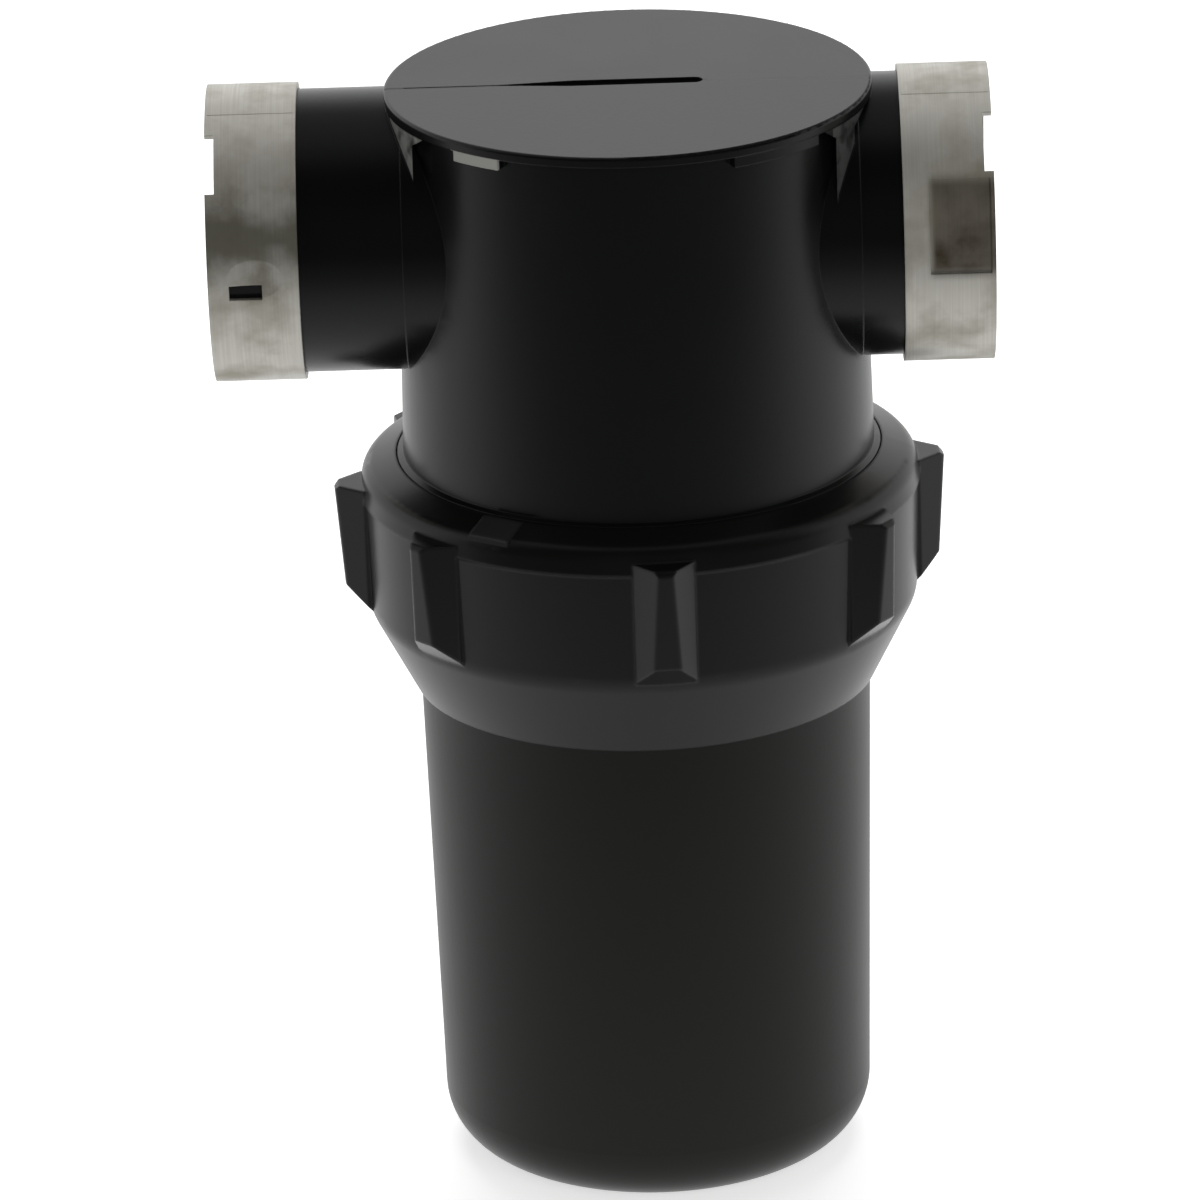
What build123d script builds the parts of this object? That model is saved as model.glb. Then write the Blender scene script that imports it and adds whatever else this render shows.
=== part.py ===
from build123d import *
import math
import os

# An inline strainer with two threaded ports on one level, millimetres.
# The origin is the middle of the bowl's flat base and +Z points up. The ports lie along X, with the
# inlet towards -X, and the front of the object faces -Y.

# Fits between pieces
slip = 0.4
running_gap = 0.3
touch_gap = 0.1
thread_play = 0.2

# How far a cut runs past the face that it opens, and the largest share of an edge that a rounding takes
cut_over = 1.0
rounding_share = 0.48

# Bowl
bowl_height = 125.0
bowl_draft = 2.5
bowl_wall = 4.7
bowl_floor = 5.0
foot_rounding = 14.0
flange_thickness = 5.5
flange_overhang = 1.9
locating_rim_height = 5.0
locating_rim_wall = 2.0

# Seal ring between bowl and head
ring_section = 3.5
ring_groove_depth = 2.4
ring_groove_play = 0.6

# Head: a round body that narrows a little towards the top, with a flat plate over it. Its union
# thread is left plain. The ridges stand on the body, under a shoulder that fills the collar's mouth
body_radius = 51.2
body_draft = 1.6
body_wall = 5.0
thread_height = 1.3
shoulder_height = 3.0
port_height = 86.9
plate_rise = 31.3
plate_overhang = 2.8
plate_thickness = 2.2
plate_edge_rounding = 0.7
roof_thickness = 5.0

# Slit in the top plate: a hairline that flares into a round-ended slot
slit_start = -48.0
slit_flare_start = -28.0
slit_flare_end = -12.0
slit_end = 16.1
slit_hairline = 0.4
slit_width = 3.8
slit_depth = 0.9

# Pads under the plate's rim, as (first azimuth, last azimuth) from the front, and again at the back
rim_pads = [(-45.0, -32.0), (25.0, 50.0)]
pad_depth = 2.3

# Gussets under the plate, beside each port's barrel
inlet_gusset_inset = 4.4
outlet_gusset_inset = 6.6
gusset_thickness = 4.0
gusset_flare = 2.6

# Ports
barrel_radius = 30.5
inlet_reach = 90.3
outlet_reach = 77.1
thread_bore_radius = 22.0
thread_bore_depth = 25.0
mouth_chamfer = 1.5
passage_radius = 18.0
duct_wall = 3.0
root_sleeve_inset = 3.6
root_sleeve_rise = 0.4

# Stainless bands round the ports
band_width = 19.4
band_thickness = 1.4
band_overhang = 2.2
notch_count = 2
notch_width = 14.0
notch_depth = 2.0
first_notch_angle = 46.0
dimple_diameter = 12.0
dimple_depth = 0.6
dimple_inset = 10.0
slot_length = 7.0
slot_height = 3.2
slot_below_dimple = 3.0
slot_shift = 2.0
recess_width = 13.0
recess_height = 20.2
recess_depth = 0.7
recess_inset = 7.4
recess_angle = 12.3

# Socket in the head that leads the flow down into the screen
socket_radius = 27.0
socket_wall = 3.5
socket_rise = 22.6
socket_overlap = 6.0

# Collar nut
collar_height = 52.0
collar_wall = 8.2
lip_height = 5.4
lip_overhang = 0.5
lip_draft = 0.9
lip_rounding = 3.6
top_cone_height = 2.8
mouth_land = 0.2
side_draft = 0.6
foot_cone_height = 18.4
foot_land = 0.8
foot_cone_rounding = 8.0
ledge_thickness = 8.8

# Grip ribs on the collar's side, at these azimuths from the first one, and again opposite
rib_azimuths = [0.0, 49.0, 90.0, 129.0]
rib_turn = 4.4
rib_width = 13.2
rib_crest_width = 3.0
rib_rise = 5.5
rib_draft = 1.5
rib_foot_height = 18.6
rib_height = 28.0
rib_edge_rounding = 1.2
rib_rounding_share = 0.8
rib_top_bevel = 1.0
rib_foot_bevel = 5.4

# Raised mark on the collar's top cone
mark_azimuth = -33.0
mark_length = 9.6
mark_width = 6.4
mark_rise = 0.4

# Screen
cage_wall = 2.4
cage_floor = 4.0
cage_foot_height = 9.0
cage_head_height = 14.0
cage_rib_count = 4
cage_rib_width = 5.0
hoop_count = 2
hoop_height = 4.0
mesh_thickness = 0.6
mesh_seat = 2.0
mesh_columns = 20
mesh_rows = 6
mesh_bar = 2.0

# Heights and radii that follow from the sizes above
body_top_radius = body_radius - body_draft
plate_radius = body_top_radius + plate_overhang
inlet_gusset_place = inlet_gusset_inset - plate_radius
outlet_gusset_place = plate_radius - outlet_gusset_inset
root_sleeve_reach = plate_radius - root_sleeve_inset
collar_bore = body_radius + thread_height + running_gap
collar_radius = collar_bore + collar_wall
flange_bottom = bowl_height - flange_thickness
flange_radius = collar_bore - thread_height - thread_play
bowl_top_radius = flange_radius - flange_overhang
bowl_foot_radius = bowl_top_radius - bowl_draft
ledge_bore = bowl_top_radius + running_gap
ledge_height = flange_bottom - running_gap
collar_bottom = ledge_height - ledge_thickness
collar_top = collar_bottom + collar_height
lip_top_radius = collar_radius - lip_draft
cone_run = lip_top_radius - collar_bore - mouth_land
shoulder_radius = body_radius + thread_height
shoulder_cone_height = thread_height * top_cone_height / cone_run
head_bottom = bowl_height + ring_section - ring_groove_depth + running_gap
axis_height = head_bottom + port_height
plate_top = axis_height + plate_rise
plate_bottom = plate_top - plate_thickness
ceiling = plate_top - roof_thickness
body_bore = body_radius - body_wall
body_top_bore = body_top_radius - body_wall
socket_bore = socket_radius - socket_wall
socket_bottom = head_bottom + socket_rise
bowl_bore = bowl_top_radius - bowl_wall
ring_groove_radius = (bowl_bore + flange_radius) / 2
cage_top_bore = socket_radius + slip
mesh_radius = cage_top_bore + mesh_thickness
cage_bore = mesh_radius + touch_gap
cage_radius = cage_bore + cage_wall
cage_top = socket_bottom + socket_overlap


def turned(corners):
    """A piece turned about the vertical axis, from corners of radius, height and optional rounding."""
    face = make_face(Polyline(*[(corner[0], corner[1]) for corner in corners], close=True)).face()
    for place, corner in enumerate(corners):
        if len(corner) == 3:
            before = Vector(*corners[place - 1][:2])
            here = Vector(*corner[:2])
            after = Vector(*corners[(place + 1) % len(corners)][:2])
            turn = math.radians(180 - (before - here).get_angle(after - here))
            room = min((before - here).length, (after - here).length)
            rounding = min(corner[2], rounding_share * room / math.tan(turn / 2))
            vertex = face.vertices().sort_by_distance((corner[0], corner[1], 0))[0]
            face = face.fillet_2d(rounding, [vertex])
    return revolve(Plane.XZ * face, Axis.Z)


def rod_along_x(radius, start, end, height):
    """A round bar along X between two places, with its axis at a height."""
    bar = Cylinder(radius, abs(end - start), rotation=(0, 90, 0))
    return Pos((start + end) / 2, 0, height) * bar


def ring_along_x(outer, inner, start, end, height):
    """A plain ring along X."""
    hole = rod_along_x(inner, start - cut_over, end + cut_over, height)
    return rod_along_x(outer, start, end, height) - hole


def around_port(angle, radius, place):
    """A place on a port's surface. The angle is upwards from the front."""
    turn = math.radians(angle)
    y = -radius * math.cos(turn)
    z = axis_height + radius * math.sin(turn)
    return Pos(place, y, z) * Rot(-angle, 0, 0)


def single(shape):
    """The one solid of a shape."""
    solids = shape.solids()
    assert len(solids) == 1, f"{len(solids)} solids"
    return solids[0]


def rim_pad(first, last):
    """A thicker stretch of the plate's rim between two azimuths from the front."""
    low = plate_bottom - pad_depth
    ring = turned([
        (body_top_bore + body_wall / 2, low),
        (plate_radius - touch_gap, low),
        (plate_radius - touch_gap, plate_bottom + plate_thickness / 2),
        (body_top_bore + body_wall / 2, plate_bottom + plate_thickness / 2),
    ])
    far = 2 * plate_radius
    edge = [(far * math.sin(math.radians(a)), -far * math.cos(math.radians(a))) for a in (first, last)]
    sector = Pos(0, 0, low - cut_over) * make_face(Polyline((0, 0), *edge, close=True))
    return ring & extrude(sector, plate_top - low)


def gusset_pair(place):
    """The front and back gussets of one port, as one web that the barrel swallows in the middle."""
    half = gusset_thickness / 2
    low = axis_height
    high = plate_bottom + plate_thickness / 2
    face = make_face(Polyline(
        (-half, low),
        (-half, plate_bottom - gusset_flare),
        (-half - gusset_flare, plate_bottom),
        (-half - gusset_flare, high),
        (half + gusset_flare, high),
        (half + gusset_flare, plate_bottom),
        (half, plate_bottom - gusset_flare),
        (half, low),
        close=True,
    ))
    web = extrude(Plane.XZ * face, plate_radius, both=True)
    web = Pos(place, 0, 0) * web
    return web & Pos(0, 0, plate_top) * Cylinder(plate_radius - touch_gap, plate_top)


def make_head():
    head = turned([
        (0, head_bottom),
        (body_radius, head_bottom),
        (body_radius, collar_top - shoulder_height),
        (shoulder_radius, collar_top - shoulder_height),
        (shoulder_radius, collar_top),
        (body_radius, collar_top + shoulder_cone_height),
        (body_top_radius, plate_bottom),
        (plate_radius, plate_bottom),
        (plate_radius, plate_top, plate_edge_rounding),
        (0, plate_top),
    ])
    inlet_end = -(inlet_reach - band_overhang)
    outlet_end = outlet_reach - band_overhang
    head += rod_along_x(barrel_radius, inlet_end, outlet_end, axis_height)
    sleeve = barrel_radius + root_sleeve_rise
    head += rod_along_x(sleeve, -root_sleeve_reach, root_sleeve_reach, axis_height)
    for first, last in rim_pads:
        pad = rim_pad(first, last)
        head += pad
        head += Rot(0, 0, 180) * pad
    for place in (inlet_gusset_place, outlet_gusset_place):
        head += gusset_pair(place)

    # The hollow follows the body at its wall thickness
    head -= turned([
        (0, head_bottom - cut_over),
        (body_bore, head_bottom - cut_over),
        (body_bore, collar_top),
        (body_top_bore, ceiling),
        (0, ceiling),
    ])

    # The socket hangs from the roof, and a duct joins it to the inlet across the hollow
    socket_length = ceiling - socket_bottom
    up = (Align.CENTER, Align.CENTER, Align.MIN)
    head += Pos(0, 0, socket_bottom) * Cylinder(socket_radius, socket_length, align=up)
    head += rod_along_x(passage_radius + duct_wall, -body_top_radius, 0, axis_height)
    head -= Pos(0, 0, socket_bottom - cut_over) * Cylinder(socket_bore, socket_length + cut_over, align=up)
    head -= rod_along_x(passage_radius, inlet_end - cut_over, 0, axis_height)
    outlet_start = (socket_radius + body_top_bore) / 2
    head -= rod_along_x(passage_radius, outlet_start, outlet_end + cut_over, axis_height)

    # Threaded mouths, bored to the crests of the pipe thread
    for end, inward in ((inlet_end, 1), (outlet_end, -1)):
        deep = end + inward * thread_bore_depth
        outside = end - inward * cut_over
        head -= rod_along_x(thread_bore_radius, *sorted((outside, deep)), axis_height)
        mouth = Cone(thread_bore_radius + mouth_chamfer, thread_bore_radius, mouth_chamfer)
        tip = Pos(end + inward * mouth_chamfer / 2, 0, axis_height) * Rot(0, 90 * inward, 0)
        head -= tip * mouth

    half = slit_width / 2
    slot_end = slit_end - half
    slit = make_face(Polyline(
        (slit_start, -slit_hairline / 2),
        (slit_flare_start, -slit_hairline / 2),
        (slit_flare_end, -half),
        (slot_end, -half),
        (slot_end, half),
        (slit_flare_end, half),
        (slit_flare_start, slit_hairline / 2),
        (slit_start, slit_hairline / 2),
        close=True,
    ))
    slit_bottom = plate_top - slit_depth
    head -= extrude(Pos(0, 0, slit_bottom) * slit, slit_depth + cut_over)
    return head - Pos(slot_end, 0, slit_bottom) * Cylinder(half, slit_depth + cut_over, align=up)


def make_band(outer_end, inward):
    """A stainless band that ends at outer_end, with notches in its outer edge."""
    inner = barrel_radius + touch_gap
    outer = inner + band_thickness
    inner_end = outer_end + inward * band_width
    band = ring_along_x(outer, inner, *sorted((outer_end, inner_end)), axis_height)
    for number in range(notch_count):
        angle = first_notch_angle + 360 / notch_count * number
        notch = Box(2 * notch_depth, 4 * band_thickness, notch_width)
        band -= around_port(angle, outer, outer_end) * notch
    return band, outer


def make_inlet_band():
    band, outer = make_band(-inlet_reach, 1)
    place = -inlet_reach + dimple_inset
    ball_radius = (dimple_diameter ** 2 / 4 + dimple_depth ** 2) / (2 * dimple_depth)
    ball_centre = outer - dimple_depth + ball_radius
    band -= around_port(0, ball_centre, place) * Sphere(ball_radius)
    slot = Box(slot_length, 4 * band_thickness, slot_height)
    middle = place - slot_shift
    band -= around_port(0, outer, middle) * Pos(0, 0, -slot_below_dimple) * slot
    return band


def make_outlet_band():
    band, outer = make_band(outlet_reach, -1)
    window = Box(recess_width, outer, recess_height)
    middle = around_port(recess_angle, outer, outlet_reach - recess_inset) * window
    inner_end = outlet_reach - band_width
    skin = ring_along_x(outer + cut_over, outer - recess_depth, inner_end, outlet_reach, axis_height)
    return band - (skin & middle)


def make_collar():
    lip_top = collar_top - top_cone_height
    lip_low = lip_top - lip_height
    side = collar_radius - lip_overhang
    rib_radius = collar_radius + rib_rise
    collar = turned([
        (ledge_bore, collar_bottom),
        (ledge_bore + foot_land, collar_bottom),
        (side - side_draft, collar_bottom + foot_cone_height, foot_cone_rounding),
        (side, lip_low),
        (collar_radius, lip_low),
        (lip_top_radius, lip_top, lip_rounding),
        (collar_bore + mouth_land, collar_top),
        (collar_bore, collar_top),
        (collar_bore, ledge_height),
        (ledge_bore, ledge_height),
    ])
    rib_foot = collar_bottom + rib_foot_height
    rib_top = rib_foot + rib_height
    root = (collar_bore + collar_radius) / 2
    rib_band = turned([
        (root, rib_foot),
        (rib_radius - rib_draft - rib_foot_bevel, rib_foot),
        (rib_radius - rib_draft, rib_foot + rib_foot_bevel),
        (rib_radius, rib_top - rib_top_bevel),
        (rib_radius - rib_top_bevel, rib_top),
        (root, rib_top),
    ])

    # The flanks lean in from the rib's full width at the collar's side to its narrow crest
    foot_half = rib_width / 2
    crest_half = rib_crest_width / 2
    lean = (foot_half - crest_half) / (rib_radius - side)
    tip_half = crest_half * (1 - rib_rounding_share)
    tip = rib_radius + (crest_half - tip_half) / lean
    blade = make_face(Polyline(
        (-foot_half, 0),
        (-foot_half, -side),
        (-tip_half, -tip),
        (tip_half, -tip),
        (foot_half, -side),
        (foot_half, 0),
        close=True,
    ))
    rib = rib_band & extrude(Pos(0, 0, rib_foot - cut_over) * blade, rib_height + 2 * cut_over)
    crest = rib.edges().filter_by(lambda edge: abs(edge.tangent_at(0.5).Z) > rib_rounding_share)
    rib = fillet(crest.group_by(Axis.Y)[0], min(rib_edge_rounding, rib_rounding_share * crest_half))
    for azimuth in rib_azimuths:
        collar += Rot(0, 0, rib_turn + azimuth) * rib
        collar += Rot(0, 0, rib_turn + azimuth + 180) * rib

    slope = math.degrees(math.atan2(top_cone_height, cone_run))
    middle = collar_bore + mouth_land + cone_run / 2
    mark = Box(mark_length, mark_width, 2 * mark_rise)
    seat = Pos(0, -middle, collar_top - top_cone_height / 2) * Rot(slope, 0, 0)
    return collar + Rot(0, 0, mark_azimuth) * seat * mark


def make_bowl():
    bowl = turned([
        (0, 0),
        (bowl_foot_radius, 0, foot_rounding),
        (bowl_top_radius, flange_bottom),
        (flange_radius, flange_bottom),
        (flange_radius, bowl_height),
        (bowl_bore, bowl_height),
        (bowl_foot_radius - bowl_wall, bowl_floor, foot_rounding - bowl_wall),
        (0, bowl_floor),
    ])
    rim_bore = cage_radius + slip
    bowl += turned([
        (rim_bore, bowl_floor - cut_over),
        (rim_bore + locating_rim_wall, bowl_floor - cut_over),
        (rim_bore + locating_rim_wall, bowl_floor + locating_rim_height),
        (rim_bore, bowl_floor + locating_rim_height),
    ])
    half = (ring_section + ring_groove_play) / 2
    low = bowl_height - ring_groove_depth
    return bowl - turned([
        (ring_groove_radius - half, low),
        (ring_groove_radius + half, low),
        (ring_groove_radius + half, bowl_height + cut_over),
        (ring_groove_radius - half, bowl_height + cut_over),
    ])


def make_seal():
    middle = bowl_height - ring_groove_depth + ring_section / 2
    return Pos(0, 0, middle) * Torus(ring_groove_radius, ring_section / 2)


def make_cage():
    """The screen's moulded cage: a closed foot, a head ring, upright ribs and hoops."""
    foot_top = bowl_floor + cage_foot_height
    head_low = cage_top - cage_head_height
    shoulder = head_low + mesh_seat + touch_gap
    cage = turned([
        (0, bowl_floor),
        (cage_radius, bowl_floor),
        (cage_radius, foot_top),
        (cage_bore, foot_top),
        (cage_bore, bowl_floor + cage_floor),
        (0, bowl_floor + cage_floor),
    ])
    cage += turned([
        (cage_bore, head_low),
        (cage_radius, head_low),
        (cage_radius, cage_top),
        (cage_top_bore, cage_top),
        (cage_top_bore, shoulder),
        (cage_bore, shoulder),
    ])
    length = head_low - foot_top
    wall = ring_wall(cage_radius, cage_bore, foot_top - touch_gap, length + 2 * touch_gap)
    bars = Box(2 * (cage_radius + cut_over), cage_rib_width, length + 2 * cut_over)
    cross = bars
    for number in range(1, cage_rib_count // 2):
        cross += Rot(0, 0, 360 / cage_rib_count * number) * bars
    cage += wall & Pos(0, 0, foot_top + length / 2) * cross
    for number in range(hoop_count):
        middle = foot_top + length * (number + 1) / (hoop_count + 1)
        cage += ring_wall(cage_radius, cage_bore, middle - hoop_height / 2, hoop_height)
    return cage


def ring_wall(outer, inner, low, height):
    """A plain upright ring."""
    return turned([(inner, low), (outer, low), (outer, low + height), (inner, low + height)])


def make_mesh():
    """The mesh sleeve, as a thin tube with windows between its bars."""
    low = bowl_floor + cage_floor + touch_gap
    high = cage_top - cage_head_height + mesh_seat
    sleeve = ring_wall(mesh_radius, mesh_radius - mesh_thickness, low, high - low)
    clear_low = bowl_floor + cage_foot_height
    clear_high = cage_top - cage_head_height
    pitch = (clear_high - clear_low) / mesh_rows
    window_width = 2 * math.pi * mesh_radius / mesh_columns - mesh_bar
    for column in range(mesh_columns // 2):
        for row in range(mesh_rows):
            window = Box(3 * mesh_radius, window_width, pitch - mesh_bar)
            middle = clear_low + pitch * (row + 0.5)
            sleeve -= Rot(0, 0, 360 / mesh_columns * (column + 0.5)) * Pos(0, 0, middle) * window
    return sleeve


os.makedirs("parts", exist_ok=True)
nodes = {
    "head": make_head(),
    "inlet_band": make_inlet_band(),
    "outlet_band": make_outlet_band(),
    "collar_nut": make_collar(),
    "bowl": make_bowl(),
    "bowl_o_ring": make_seal(),
    "screen_cage": make_cage(),
    "screen_mesh": make_mesh(),
}
for name, shape in nodes.items():
    export_step(single(shape), f"parts/{name}.step")
    print(name, round(shape.volume / 1000, 2), "cm3")
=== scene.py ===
import math

import bmesh
import bpy
from mathutils import Matrix, Vector


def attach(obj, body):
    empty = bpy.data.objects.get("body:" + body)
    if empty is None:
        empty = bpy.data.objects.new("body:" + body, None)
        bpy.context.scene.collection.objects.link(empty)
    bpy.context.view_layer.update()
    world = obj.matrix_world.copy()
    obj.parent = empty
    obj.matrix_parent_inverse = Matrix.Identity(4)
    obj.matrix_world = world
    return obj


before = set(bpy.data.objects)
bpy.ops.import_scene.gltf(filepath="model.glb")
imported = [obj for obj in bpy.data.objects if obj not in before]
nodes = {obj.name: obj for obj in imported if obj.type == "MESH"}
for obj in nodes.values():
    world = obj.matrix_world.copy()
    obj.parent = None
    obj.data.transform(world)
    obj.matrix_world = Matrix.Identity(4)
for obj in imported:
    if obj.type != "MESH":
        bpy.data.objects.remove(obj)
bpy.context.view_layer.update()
scene = bpy.context.scene
bpy.ops.object.select_all(action="DESELECT")

# Head
# One black polypropylene moulding: a round body under a flat plate, with two port hubs in line.
# It hangs on the pipes, which screw into the hubs.
black = (0.0035, 0.0036, 0.0039, 1.0)
cloud_shade = (0.0015, 0.0015, 0.0014, 1.0)
# Edge colour: partly rubbed wear, partly a painted sheen
rubbed_and_sheen_shade = (0.008, 0.008, 0.008, 1.0)
gloss_ior = 1.34
head_roughness = 0.26
head_grain = 0.000012
gloss_change = 0.1
grain_size = 0.0011
cloud_size = 0.035
moulded_edge = 0.00035

# The plate's front half, painted lighter as a painted shading of its near side, and the witness
# line beside its slit
plate_top = 0.2446
plate_radius = 0.0524
painted_lit_middle = (0, -0.026, plate_top)
painted_lit_half = (0.06, 0.026, 0.0004)
# Lighter black for the front half: painted shading
painted_lit_black = (0.0072, 0.0072, 0.0075, 1.0)
dull_roughness = 0.275
witness_middle = (-0.0185, 0, plate_top)
witness_half = (0.035, 0.0005, 0.0002)
witness_black = (0.006, 0.006, 0.006, 1.0)
witness_roughness = 0.42

# The pad under the plate's rim and the gussets, with what bounds them
pad_azimuth = math.radians(-38.5)
pad_height = 0.2412
pad_half = (0.0066, 0.0012, 0.0013)
# Pale pad colour: a painted reflection
pad_painted_reflection = (0.36, 0.36, 0.33, 1.0)
# Paler colours for the front gussets, the inlet one much paler
inlet_gusset_pale = (0.25, 0.25, 0.235, 1.0)
outlet_gusset_pale = (0.06, 0.06, 0.059, 1.0)
pale_roughness = 0.45
pale_patch_size = 0.004
pale_edge = 0.0003
port_height = 0.2133
sleeve_radius = 0.0311
body_clearance_radius = 0.0502
gusset_inner_edge = 0.043
plate_underside = 0.2423


def math_node(tree, operation, first, second):
    """The result of one sum on two values, each a socket or a number."""
    node = tree.nodes.new("ShaderNodeMath")
    node.operation = operation
    for socket, value in zip(node.inputs, (first, second)):
        if isinstance(value, (int, float)):
            socket.default_value = value
        else:
            tree.links.new(value, socket)
    return node.outputs[0]


def ramp(tree, value, start, end, low=0.0, high=1.0, smooth=False):
    """A value carried from one range to another."""
    node = tree.nodes.new("ShaderNodeMapRange")
    if smooth:
        node.interpolation_type = "SMOOTHSTEP"
    for name, number in (("From Min", start), ("From Max", end), ("To Min", low), ("To Max", high)):
        node.inputs[name].default_value = number
    tree.links.new(value, node.inputs["Value"])
    return node.outputs["Result"]


def noise(tree, vector, size, detail):
    """Noise with features of about one size."""
    node = tree.nodes.new("ShaderNodeTexNoise")
    node.inputs["Scale"].default_value = 1 / size
    node.inputs["Detail"].default_value = detail
    tree.links.new(vector, node.inputs["Vector"])
    return node.outputs["Fac"]


def mixed(tree, factor, first, second, blend="MIX"):
    """Two colours mixed by a factor, each a socket or a colour."""
    node = tree.nodes.new("ShaderNodeMix")
    node.data_type = "RGBA"
    node.blend_type = blend
    tree.links.new(factor, node.inputs["Factor"])
    for socket, value in ((node.inputs["A"], first), (node.inputs["B"], second)):
        if isinstance(value, tuple):
            socket.default_value = value
        else:
            tree.links.new(value, socket)
    return node.outputs["Result"]


def make_moulded_surface():
    """Fine moulded grain, slow clouds in the gloss and softened edges that are a shade lighter,
    from rubbing and as a painted sheen, for every plastic piece.
    """
    group = bpy.data.node_groups.new("moulded_surface", "ShaderNodeTree")
    face = group.interface
    face.new_socket("Colour", in_out="INPUT", socket_type="NodeSocketColor")
    for name in ("Gloss change", "Roughness base", "Grain height", "Edge radius"):
        face.new_socket(name, in_out="INPUT", socket_type="NodeSocketFloat")
    face.new_socket("Colour", in_out="OUTPUT", socket_type="NodeSocketColor")
    face.new_socket("Roughness", in_out="OUTPUT", socket_type="NodeSocketFloat")
    face.new_socket("Normal", in_out="OUTPUT", socket_type="NodeSocketVector")
    add = group.nodes.new
    link = group.links.new
    given = add("NodeGroupInput").outputs
    result = add("NodeGroupOutput").inputs
    place = add("ShaderNodeTexCoord").outputs["Object"]

    # Slow clouds change the gloss and the colour a little
    cloud = noise(group, place, cloud_size, 3.0)
    either_way = math_node(group, "SUBTRACT", cloud, 0.5)
    change = math_node(group, "MULTIPLY", either_way, given["Gloss change"])
    link(math_node(group, "ADD", change, given["Roughness base"]), result["Roughness"])

    # Edges are a shade lighter: rubbed wear, and a painted sheen along them
    bevel = add("ShaderNodeBevel")
    bevel.samples = 4
    link(given["Edge radius"], bevel.inputs["Radius"])
    alike = add("ShaderNodeVectorMath")
    alike.operation = "DOT_PRODUCT"
    link(bevel.outputs["Normal"], alike.inputs[0])
    link(add("ShaderNodeNewGeometry").outputs["Normal"], alike.inputs[1])
    edge = ramp(group, alike.outputs["Value"], 0.995, 0.85)
    rubbed_and_sheen = mixed(group, edge, given["Colour"], rubbed_and_sheen_shade, "ADD")
    link(mixed(group, cloud, rubbed_and_sheen, cloud_shade, "ADD"), result["Colour"])

    # Grain stands on the softened edges
    bump = add("ShaderNodeBump")
    bump.inputs["Distance"].default_value = 1.0
    grain = noise(group, place, grain_size, 2.0)
    link(math_node(group, "MULTIPLY", grain, given["Grain height"]), bump.inputs["Height"])
    link(bevel.outputs["Normal"], bump.inputs["Normal"])
    link(bump.outputs["Normal"], result["Normal"])
    return group


moulded_surface = make_moulded_surface()


def make_moulded_plastic(name, colour, roughness, change, grain_height, ior, edge=moulded_edge):
    """A plastic whose colour, gloss and grain come from the shared moulded surface."""
    material = bpy.data.materials.new(name)
    material.use_nodes = True
    tree = material.node_tree
    shader = tree.nodes["Principled BSDF"]
    shader.inputs["IOR"].default_value = ior
    skin = tree.nodes.new("ShaderNodeGroup")
    skin.node_tree = moulded_surface
    skin.inputs["Colour"].default_value = colour
    skin.inputs["Gloss change"].default_value = change
    skin.inputs["Roughness base"].default_value = roughness
    skin.inputs["Grain height"].default_value = grain_height
    skin.inputs["Edge radius"].default_value = edge
    tree.links.new(skin.outputs["Colour"], shader.inputs["Base Color"])
    tree.links.new(skin.outputs["Roughness"], shader.inputs["Roughness"])
    tree.links.new(skin.outputs["Normal"], shader.inputs["Normal"])
    return material


def recolour(material, mask, colour, roughness):
    """Another colour and roughness where a mask is 1."""
    tree = material.node_tree
    shader = tree.nodes["Principled BSDF"]
    grey = (roughness, roughness, roughness, 1.0)
    for name, value in (("Base Color", colour), ("Roughness", grey)):
        before = shader.inputs[name].links[0].from_socket
        tree.links.new(mixed(tree, mask, before, value), shader.inputs[name])


def add_patch(material, middle, azimuth, half, colour, roughness):
    """A patch of another shade and gloss on a moulding, inside a box turned about the vertical."""
    tree = material.node_tree
    turned = tree.nodes.new("ShaderNodeMapping")
    turned.vector_type = "TEXTURE"
    turned.inputs["Location"].default_value = middle
    turned.inputs["Rotation"].default_value = (0, 0, azimuth)
    tree.links.new(tree.nodes.new("ShaderNodeTexCoord").outputs["Object"], turned.inputs["Vector"])
    split = tree.nodes.new("ShaderNodeSeparateXYZ")
    tree.links.new(turned.outputs["Vector"], split.inputs["Vector"])
    inside = 1.0
    for socket, reach in zip(split.outputs, half):
        distance = math_node(tree, "ABSOLUTE", socket, 0.0)
        within = ramp(tree, distance, reach * 1.04, reach * 0.96)
        inside = math_node(tree, "MULTIPLY", within, inside)
    recolour(material, inside, colour, roughness)


def distance_from(tree, first, second):
    """The distance from an axis, given the two coordinates across it."""
    squares = [math_node(tree, "MULTIPLY", value, value) for value in (first, second)]
    return math_node(tree, "SQRT", math_node(tree, "ADD", *squares), 0.0)


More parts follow.
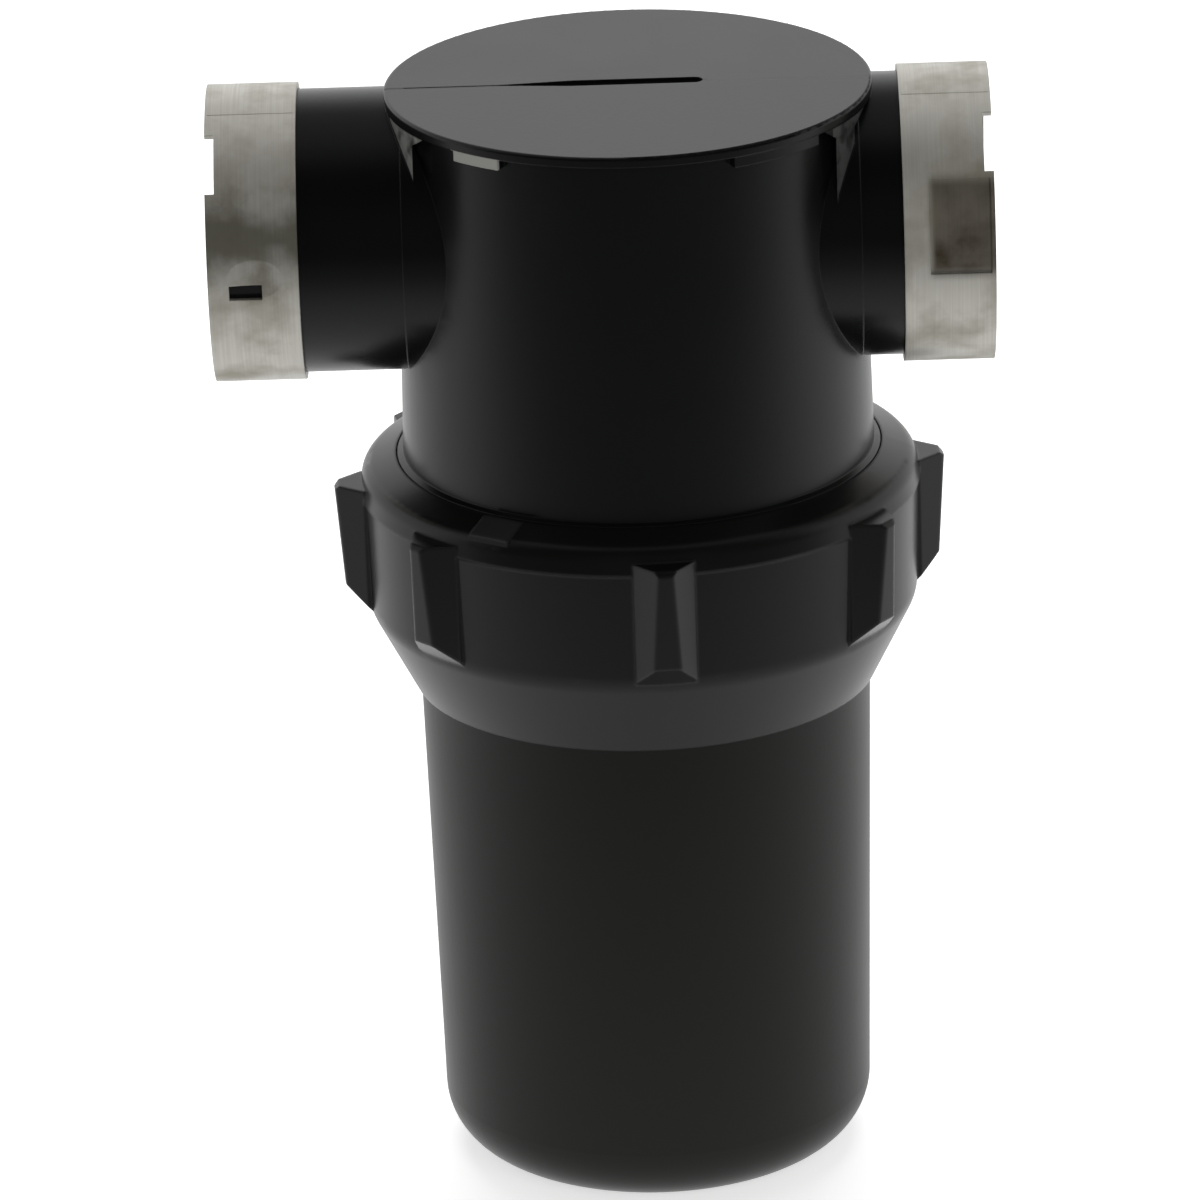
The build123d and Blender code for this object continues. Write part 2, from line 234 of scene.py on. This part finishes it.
def add_pale_gussets(material):
    """Paler ragged patches on the front gussets, which stand clear of the hubs and the body; the
    inlet side is much paler.
    """
    tree = material.node_tree
    place = tree.nodes.new("ShaderNodeTexCoord").outputs["Object"]
    split = tree.nodes.new("ShaderNodeSeparateXYZ")
    tree.links.new(place, split.inputs["Vector"])
    x, y, z = split.outputs
    above_port = math_node(tree, "SUBTRACT", z, port_height)
    sideways = math_node(tree, "ABSOLUTE", x, 0.0)
    clear_of_hub = distance_from(tree, y, above_port)
    clear_of_body = distance_from(tree, x, y)
    paler_mask = ramp(tree, noise(tree, place, pale_patch_size, 3.0), 0.35, 0.55, 0.25, 1.0)
    for value, start, end in (
        (clear_of_hub, sleeve_radius, sleeve_radius + pale_edge),
        (clear_of_body, body_clearance_radius, body_clearance_radius + pale_edge),
        (sideways, gusset_inner_edge, gusset_inner_edge + pale_edge),
        (above_port, 0.0, 0.0005),
        (z, plate_underside, plate_underside - pale_edge),
        (y, 0.0, -0.001),
    ):
        paler_mask = math_node(tree, "MULTIPLY", ramp(tree, value, start, end), paler_mask)
    outlet_side = ramp(tree, x, -0.001, 0.001)
    pale = mixed(tree, outlet_side, inlet_gusset_pale, outlet_gusset_pale)
    recolour(material, paler_mask, pale, pale_roughness)


def dress(node, material):
    """Gives a solid its finish."""
    nodes[node].data.materials.clear()
    nodes[node].data.materials.append(material)


def at_azimuth(radius, azimuth, height):
    """A point at an azimuth from the front."""
    return Vector((radius * math.sin(azimuth), -radius * math.cos(azimuth), height))


head_plastic = make_moulded_plastic(
    "head_plastic", black, head_roughness, gloss_change, head_grain, gloss_ior
)
dress("head", head_plastic)

# The plate's front half is a little duller, and painted lighter as a painted shading of its near
# side, beside a witness line
add_patch(head_plastic, painted_lit_middle, 0.0, painted_lit_half, painted_lit_black, dull_roughness)
add_patch(head_plastic, witness_middle, 0.0, witness_half, witness_black, witness_roughness)

# The front left pad under the plate's rim is painted pale as a painted reflection of a bright side,
# and the front gussets are paler in ragged patches
left_pad = at_azimuth(plate_radius, pad_azimuth, pad_height)
add_patch(head_plastic, left_pad, pad_azimuth, pad_half, pad_painted_reflection, pale_roughness)
add_pale_gussets(head_plastic)

# Pipe threads
# Each hub is cut inside with a right-hand pipe thread, moulded in the same polypropylene.
# The ridges stand on the bore, a little short of the mouth's chamfer.
port_bore = 0.022
pipe_pitch = 0.00231
pipe_ridge = 0.00045
pipe_turns = 8
pipe_thread_starts = {"inlet": -0.0852, "outlet": 0.0536}
thread_sink = 0.0002
ridge_foot_share = 0.65
ridge_crest_share = 0.45
turn_steps = 96
crease_angle = math.radians(30)


def add_thread(name, root, crest, pitch, turns, start):
    """A right-hand ridge that climbs the vertical axis from a height, with its ends closed."""
    sunk = root + math.copysign(thread_sink, root - crest)
    bpy.ops.object.select_all(action="DESELECT")
    place = ((sunk + crest) / 2, 0, start)
    bpy.ops.mesh.primitive_plane_add(size=1, location=place, rotation=(math.pi / 2, 0, 0))
    piece = bpy.context.active_object
    piece.name = name
    piece.scale = (abs(crest - sunk), pitch * ridge_foot_share, 1)
    bpy.ops.object.transform_apply(location=True, rotation=True, scale=True)

    # The plane becomes a trapezoid, narrow at the crest
    bpy.ops.object.mode_set(mode="EDIT")
    bpy.ops.mesh.select_all(action="DESELECT")
    mesh = bmesh.from_edit_mesh(piece.data)
    for vertex in mesh.verts:
        vertex.select = abs(vertex.co.x - crest) < abs(vertex.co.x - sunk)
    mesh.select_flush_mode()
    bpy.ops.transform.resize(value=(1, 1, ridge_crest_share), center_override=place)
    bpy.ops.object.mode_set(mode="OBJECT")

    helix = piece.modifiers.new("helix", "SCREW")
    helix.axis = "Z"
    helix.screw_offset = pitch
    helix.iterations = turns
    helix.steps = turn_steps
    helix.render_steps = turn_steps
    bpy.ops.object.modifier_apply(modifier="helix")
    bpy.ops.object.mode_set(mode="EDIT")
    bpy.ops.mesh.select_all(action="SELECT")
    bpy.ops.mesh.remove_doubles(threshold=0.000001)
    bpy.ops.mesh.fill_holes(sides=4)
    bpy.ops.mesh.select_all(action="SELECT")
    bpy.ops.mesh.normals_make_consistent(inside=False)
    bpy.ops.object.mode_set(mode="OBJECT")
    bpy.ops.object.shade_smooth_by_angle(angle=crease_angle)
    return piece


for side, start in pipe_thread_starts.items():
    crest = port_bore - pipe_ridge
    thread = add_thread(f"{side}_port_thread", port_bore, crest, pipe_pitch, pipe_turns, 0)
    thread.rotation_euler = (0, math.pi / 2, 0)
    thread.location = (start, 0, port_height)
    bpy.ops.object.transform_apply(location=True, rotation=True, scale=True)
    thread.data.materials.append(head_plastic)
    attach(thread, "head")

# Bands
# Strip stainless steel, rolled and welded into a ring and pressed over each hub, so that the hub
# doesn't split when a pipe is screwed in. The steel is dulled by handling and has a thin weld bead.
steel = (0.6, 0.585, 0.535, 1.0)
tarnish = (0.33, 0.31, 0.245, 1.0)
# Olive tint for a painted dark reflection on the inlet band's front
painted_olive_reflection = (0.11, 0.105, 0.075, 1.0)
brown = (0.062, 0.046, 0.026, 1.0)
line_stretch = 2600.0
line_depth = 0.000008
tarnish_size = 0.011
reflection_angle = math.radians(15)
recess_angle = math.radians(12.3)
recess_half_turn = 0.32
recess_edge = 0.0634
recess_blur = 0.0012
band_middles = {"inlet": -0.0806, "outlet": 0.0674}
band_radius = 0.032
band_width = 0.0194
band_edge = 0.0004
weld_angle = math.radians(71)
weld_width = 0.0011
weld_rise = 0.00008
weld_inset = 0.001


def make_band_steel(name, edge):
    """Rolled stainless steel with tarnish, a painted dark reflection tinted olive on the inlet
    band's front, and brown in and round the outlet band's recess.
    """
    material = bpy.data.materials.new(name)
    material.use_nodes = True
    tree = material.node_tree
    add = tree.nodes.new
    link = tree.links.new
    shader = tree.nodes["Principled BSDF"]
    centre = add("ShaderNodeMapping")
    centre.inputs["Location"].default_value = (0, 0, -port_height)
    link(add("ShaderNodeTexCoord").outputs["Object"], centre.inputs["Vector"])
    split = add("ShaderNodeSeparateXYZ")
    link(centre.outputs["Vector"], split.inputs["Vector"])
    forward = math_node(tree, "MULTIPLY", split.outputs["Y"], -1.0)
    angle = math_node(tree, "ARCTAN2", split.outputs["Z"], forward)

    # Fine rolling lines run round the ring, so the pattern is stretched about its axis
    joined = add("ShaderNodeCombineXYZ")
    link(math_node(tree, "MULTIPLY", split.outputs["X"], line_stretch), joined.inputs["X"])
    link(angle, joined.inputs["Y"])
    lines = noise(tree, joined.outputs["Vector"], 1.0, 4.0)

    # Tarnish lies in soft smears
    smear = noise(tree, centre.outputs["Vector"], tarnish_size, 5.0)
    patches = ramp(tree, smear, 0.45, 0.75)
    streaks = ramp(tree, lines, 0.35, 0.75, 0.0, 0.3)
    colour = mixed(tree, streaks, mixed(tree, patches, steel, tarnish), tarnish)

    # A painted dark reflection, tinted olive, on the front of the inlet's band
    facing = math_node(tree, "ABSOLUTE", math_node(tree, "SUBTRACT", angle, reflection_angle), 0.0)
    painted_reflection_mask = math_node(tree, "ADD", facing, ramp(tree, smear, 0.3, 0.7, 0.12, -0.12))
    painted_reflection_mask = ramp(tree, painted_reflection_mask, 0.38, 0.05, 0.0, 0.85, smooth=True)
    inlet_side = ramp(tree, split.outputs["X"], 0.001, -0.001)
    colour = mixed(tree, math_node(tree, "MULTIPLY", painted_reflection_mask, inlet_side), colour, painted_olive_reflection)

    # Darker brown in and round the outlet band's pressed recess
    turned = math_node(tree, "ABSOLUTE", math_node(tree, "SUBTRACT", angle, recess_angle), 0.0)
    around = ramp(tree, turned, recess_half_turn + 0.07, recess_half_turn - 0.05, smooth=True)
    start = recess_edge - recess_blur
    across = ramp(tree, split.outputs["X"], start, recess_edge + recess_blur, smooth=True)
    sunk = math_node(tree, "MULTIPLY", around, across)
    sunk = math_node(tree, "MULTIPLY", sunk, ramp(tree, smear, 0.35, 0.7, 1.0, 0.6))
    link(mixed(tree, sunk, colour, brown), shader.inputs["Base Color"])

    # Tarnish is less like metal, and rougher than the clean lines
    link(ramp(tree, smear, 0.35, 0.65, 0.5, 0.38), shader.inputs["Metallic"])
    line_roughness = ramp(tree, lines, 0.0, 1.0, 0.3, 0.44)
    tarnish_roughness = ramp(tree, smear, 0.4, 0.7, 0.0, 0.1)
    link(math_node(tree, "ADD", line_roughness, tarnish_roughness), shader.inputs["Roughness"])

    # The lines stand on softened edges
    bevel = add("ShaderNodeBevel")
    bevel.inputs["Radius"].default_value = edge
    bump = add("ShaderNodeBump")
    bump.inputs["Distance"].default_value = line_depth
    link(lines, bump.inputs["Height"])
    link(bevel.outputs["Normal"], bump.inputs["Normal"])
    link(bump.outputs["Normal"], shader.inputs["Normal"])
    return material


band_steel = make_band_steel("band_steel", band_edge)
weld_steel = make_band_steel("weld_steel", weld_rise / 4)
for side, middle in band_middles.items():
    dress(f"{side}_band", band_steel)

    # The weld bead lies flat on the band, at the same angle on both
    bpy.ops.object.select_all(action="DESELECT")
    y = -band_radius * math.cos(weld_angle)
    z = port_height + band_radius * math.sin(weld_angle)
    lean = (math.pi / 2 - weld_angle, 0, 0)
    bpy.ops.mesh.primitive_cube_add(size=1, location=(middle, y, z), rotation=lean)
    weld = bpy.context.active_object
    weld.name = f"{side}_band_weld"
    weld.scale = (band_width - weld_inset, weld_width, 2 * weld_rise)
    bpy.ops.object.transform_apply(location=True, rotation=True, scale=True)
    bpy.ops.object.mode_set(mode="EDIT")
    bpy.ops.mesh.select_all(action="SELECT")
    bpy.ops.mesh.bevel(offset=weld_rise * 0.8, segments=2, affect="EDGES")
    bpy.ops.object.mode_set(mode="OBJECT")
    weld.data.materials.append(weld_steel)
    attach(weld, "head")

# Union thread on the head
# A coarse right-hand ridge moulded round the head's body below its shoulder. The collar nut climbs
# it, and it shows when the nut is unscrewed.
body_radius = 0.0512
union_pitch = 0.004
union_ridge = 0.00115
union_start = 0.129
union_turns = 7
union_crest = body_radius + union_ridge
head_thread = add_thread(
    "head_union_thread", body_radius, union_crest, union_pitch, union_turns, union_start
)
head_thread.data.materials.append(head_plastic)
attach(head_thread, "head")

# Screen
# A stainless wire sleeve in a moulded polypropylene cage, which stands in the bowl and slips over
# the socket in the head.
dull_ior = 1.3
cage_black = (0.03, 0.03, 0.03, 1.0)
cage_roughness = 0.42
wire = (0.55, 0.55, 0.53, 1.0)
# Darker wire colour: painted shadow where the weave dips
wire_painted_shadow = (0.12, 0.12, 0.11, 1.0)
wires_round = 90
wire_pitch = 0.0018
wire_depth = 0.0002
cage_plastic = make_moulded_plastic(
    "cage_plastic", cage_black, cage_roughness, gloss_change, head_grain, dull_ior
)
dress("screen_cage", cage_plastic)


def make_woven_wire():
    """Wires that cross over and under each other round the sleeve, with painted shadow where each
    dips under the next.
    """
    material = bpy.data.materials.new("woven_wire")
    material.use_nodes = True
    tree = material.node_tree
    add = tree.nodes.new
    link = tree.links.new
    shader = tree.nodes["Principled BSDF"]
    shader.inputs["Metallic"].default_value = 1.0
    split = add("ShaderNodeSeparateXYZ")
    link(add("ShaderNodeTexCoord").outputs["Object"], split.inputs["Vector"])
    angle = math_node(tree, "ARCTAN2", split.outputs["Y"], split.outputs["X"])
    across = math_node(tree, "SINE", math_node(tree, "MULTIPLY", angle, wires_round), 0.0)
    upright = math_node(tree, "MULTIPLY", split.outputs["Z"], 2 * math.pi / wire_pitch)
    weave = math_node(tree, "MULTIPLY", across, math_node(tree, "SINE", upright, 0.0))
    height = ramp(tree, weave, -1.0, 1.0)
    # Painted shadow darkens the wires where the weave dips
    link(mixed(tree, height, wire_painted_shadow, wire), shader.inputs["Base Color"])
    link(ramp(tree, height, 0.0, 1.0, 0.5, 0.3), shader.inputs["Roughness"])
    bump = add("ShaderNodeBump")
    bump.inputs["Distance"].default_value = wire_depth
    link(height, bump.inputs["Height"])
    link(bump.outputs["Normal"], shader.inputs["Normal"])
    return material


dress("screen_mesh", make_woven_wire())

# Bowl
# A deep polypropylene cup, moulded a little duller than the head. It hangs in the collar by its
# flange, and what the screen catches falls into it.
bowl_black = (0.0058, 0.0058, 0.0047, 1.0)
bowl_roughness = 0.36
bowl_grain = 0.000014
bowl_plastic = make_moulded_plastic(
    "bowl_plastic", bowl_black, bowl_roughness, gloss_change, bowl_grain, dull_ior
)
dress("bowl", bowl_plastic)

# Seal
# A rubber ring that lies loose in the groove of the bowl's flange, and is pressed against the head
# when the collar is tight.
seal_black = (0.012, 0.012, 0.012, 1.0)
seal_roughness = 0.62
seal_grain = 0.00001
seal_rubber = make_moulded_plastic(
    "seal_rubber", seal_black, seal_roughness, gloss_change, seal_grain, dull_ior
)
dress("bowl_o_ring", seal_rubber)

# Collar nut
# The same black polypropylene, with eight ribs to grip and a small matt pad on its top cone. Its
# thread, moulded inside, draws the bowl up under the head.
collar_black = (0.0052, 0.0052, 0.0052, 1.0)
collar_roughness = 0.25
collar_gloss_change = 0.08
collar_grain = 0.00001
collar_edge = 0.001
cone_pad_azimuth = math.radians(-33)
cone_pad_radius = 0.05655
cone_pad_height = 0.161
cone_pad_half = (0.0049, 0.0034, 0.0022)
cone_pad_black = (0.018, 0.018, 0.018, 1.0)
cone_pad_roughness = 0.5
collar_bore = 0.0528
collar_ridge = 0.00125
collar_start = 0.131
collar_turns = 6
collar_plastic = make_moulded_plastic(
    "collar_plastic", collar_black, collar_roughness, collar_gloss_change,
    collar_grain, gloss_ior, collar_edge,
)
dress("collar_nut", collar_plastic)
cone_pad = at_azimuth(cone_pad_radius, cone_pad_azimuth, cone_pad_height)
add_patch(
    collar_plastic, cone_pad, cone_pad_azimuth, cone_pad_half, cone_pad_black, cone_pad_roughness
)
collar_crest = collar_bore - collar_ridge
collar_thread = add_thread(
    "collar_thread", collar_bore, collar_crest, union_pitch, collar_turns, collar_start
)
collar_thread.data.materials.append(collar_plastic)
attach(collar_thread, "collar")

# Studio
# A white room with a pale floor, dark in front of the object and overhead. One soft light hangs
# above and behind the object, and a weaker one stands in front.
view_azimuth = math.radians(0.5)
view_elevation = math.radians(21.0)
view_distance = 2.0
view_target = Vector((-0.00955, 0, 0.126))
view_roll = math.radians(-1.895)
sensor = 36.0
focal_pixels = 9146
frame_pixels = 1200

ahead = Vector((
    -math.sin(view_azimuth) * math.cos(view_elevation),
    math.cos(view_azimuth) * math.cos(view_elevation),
    -math.sin(view_elevation),
))
level = ahead.cross(Vector((0, 0, 1))).normalized()
upright = level.cross(ahead)
image_right = math.cos(view_roll) * level + math.sin(view_roll) * upright
image_up = -math.sin(view_roll) * level + math.cos(view_roll) * upright
camera_data = bpy.data.cameras.new("camera")
camera_data.lens = focal_pixels * sensor / frame_pixels
camera_data.sensor_width = sensor
camera = bpy.data.objects.new("camera", camera_data)
scene.collection.objects.link(camera)
turn = Matrix((image_right, image_up, -ahead)).transposed().to_4x4()
camera.matrix_world = Matrix.Translation(view_target - view_distance * ahead) @ turn
scene.camera = camera
scene.view_settings.view_transform = "Standard"

# The floor takes the object's shadow
floor_size = 6.0
floor_level = 0.85
floor_glow = 0.61
bpy.ops.object.select_all(action="DESELECT")
bpy.ops.mesh.primitive_plane_add(size=floor_size, location=(0, 0, 0))
floor = bpy.context.active_object
floor.name = "floor"
floor_material = bpy.data.materials.new("floor_white")
floor_material.use_nodes = True
tree = floor_material.node_tree
shader = tree.nodes["Principled BSDF"]
shader.inputs["Base Color"].default_value = (floor_level, floor_level, floor_level, 1.0)
shader.inputs["Roughness"].default_value = 0.8
shader.inputs["Specular IOR Level"].default_value = 0.0
shader.inputs["Emission Color"].default_value = (1.0, 1.0, 1.0, 1.0)
shader.inputs["Emission Strength"].default_value = floor_glow

# Mirrored in the object, the floor is white at its foot and darkens towards the front
split = tree.nodes.new("ShaderNodeSeparateXYZ")
tree.links.new(tree.nodes.new("ShaderNodeTexCoord").outputs["Object"], split.inputs["Vector"])
near = ramp(tree, split.outputs["Y"], -0.6, 0.05, 0.17, 1.0, smooth=True)
far = ramp(tree, split.outputs["Y"], -1.6, -0.8, smooth=True)
mirrored = tree.nodes.new("ShaderNodeEmission")
tree.links.new(math_node(tree, "MULTIPLY", near, far), mirrored.inputs["Strength"])
choice = tree.nodes.new("ShaderNodeMixShader")
tree.links.new(tree.nodes.new("ShaderNodeLightPath").outputs["Is Camera Ray"], choice.inputs["Fac"])
tree.links.new(mirrored.outputs["Emission"], choice.inputs[1])
tree.links.new(shader.outputs["BSDF"], choice.inputs[2])
tree.links.new(choice.outputs["Shader"], tree.nodes["Material Output"].inputs["Surface"])
floor.data.materials.append(floor_material)

# The room is pale behind the object, dark in front of it and overhead, and white to the camera
room_front = (0.03, 0.028, 0.024, 1.0)
room_back = (0.97, 0.97, 0.97, 1.0)
dark = (0.0, 0.0, 0.0, 1.0)
white = (1.0, 1.0, 1.0, 1.0)
world = bpy.data.worlds.new("studio")
scene.world = world
world.use_nodes = True
tree = world.node_tree
split = tree.nodes.new("ShaderNodeSeparateXYZ")
tree.links.new(tree.nodes.new("ShaderNodeTexCoord").outputs["Generated"], split.inputs["Vector"])
behind = ramp(tree, split.outputs["Y"], -0.45, 0.05, smooth=True)
room = mixed(tree, behind, room_front, room_back)
overhead = ramp(tree, split.outputs["Z"], 0.38, 0.82, 0.0, 0.7, smooth=True)
room = mixed(tree, overhead, room, dark)
seen = tree.nodes.new("ShaderNodeLightPath").outputs["Is Camera Ray"]
tree.links.new(mixed(tree, seen, room, white), tree.nodes["Background"].inputs["Color"])


def add_softbox(name, place, size, power):
    """A square soft light that is turned towards the object and isn't mirrored in it."""
    lamp = bpy.data.lights.new(name, "AREA")
    lamp.shape = "SQUARE"
    lamp.size = size
    lamp.energy = power
    holder = bpy.data.objects.new(name, lamp)
    scene.collection.objects.link(holder)
    holder.location = place
    holder.rotation_euler = (view_target - Vector(place)).to_track_quat("-Z", "Y").to_euler()
    holder.visible_glossy = False


add_softbox("softbox_above", place=(0, 0.75, 1.3), size=1.2, power=14)
add_softbox("softbox_front", place=(0.25, -1.25, 0.55), size=1.0, power=7)
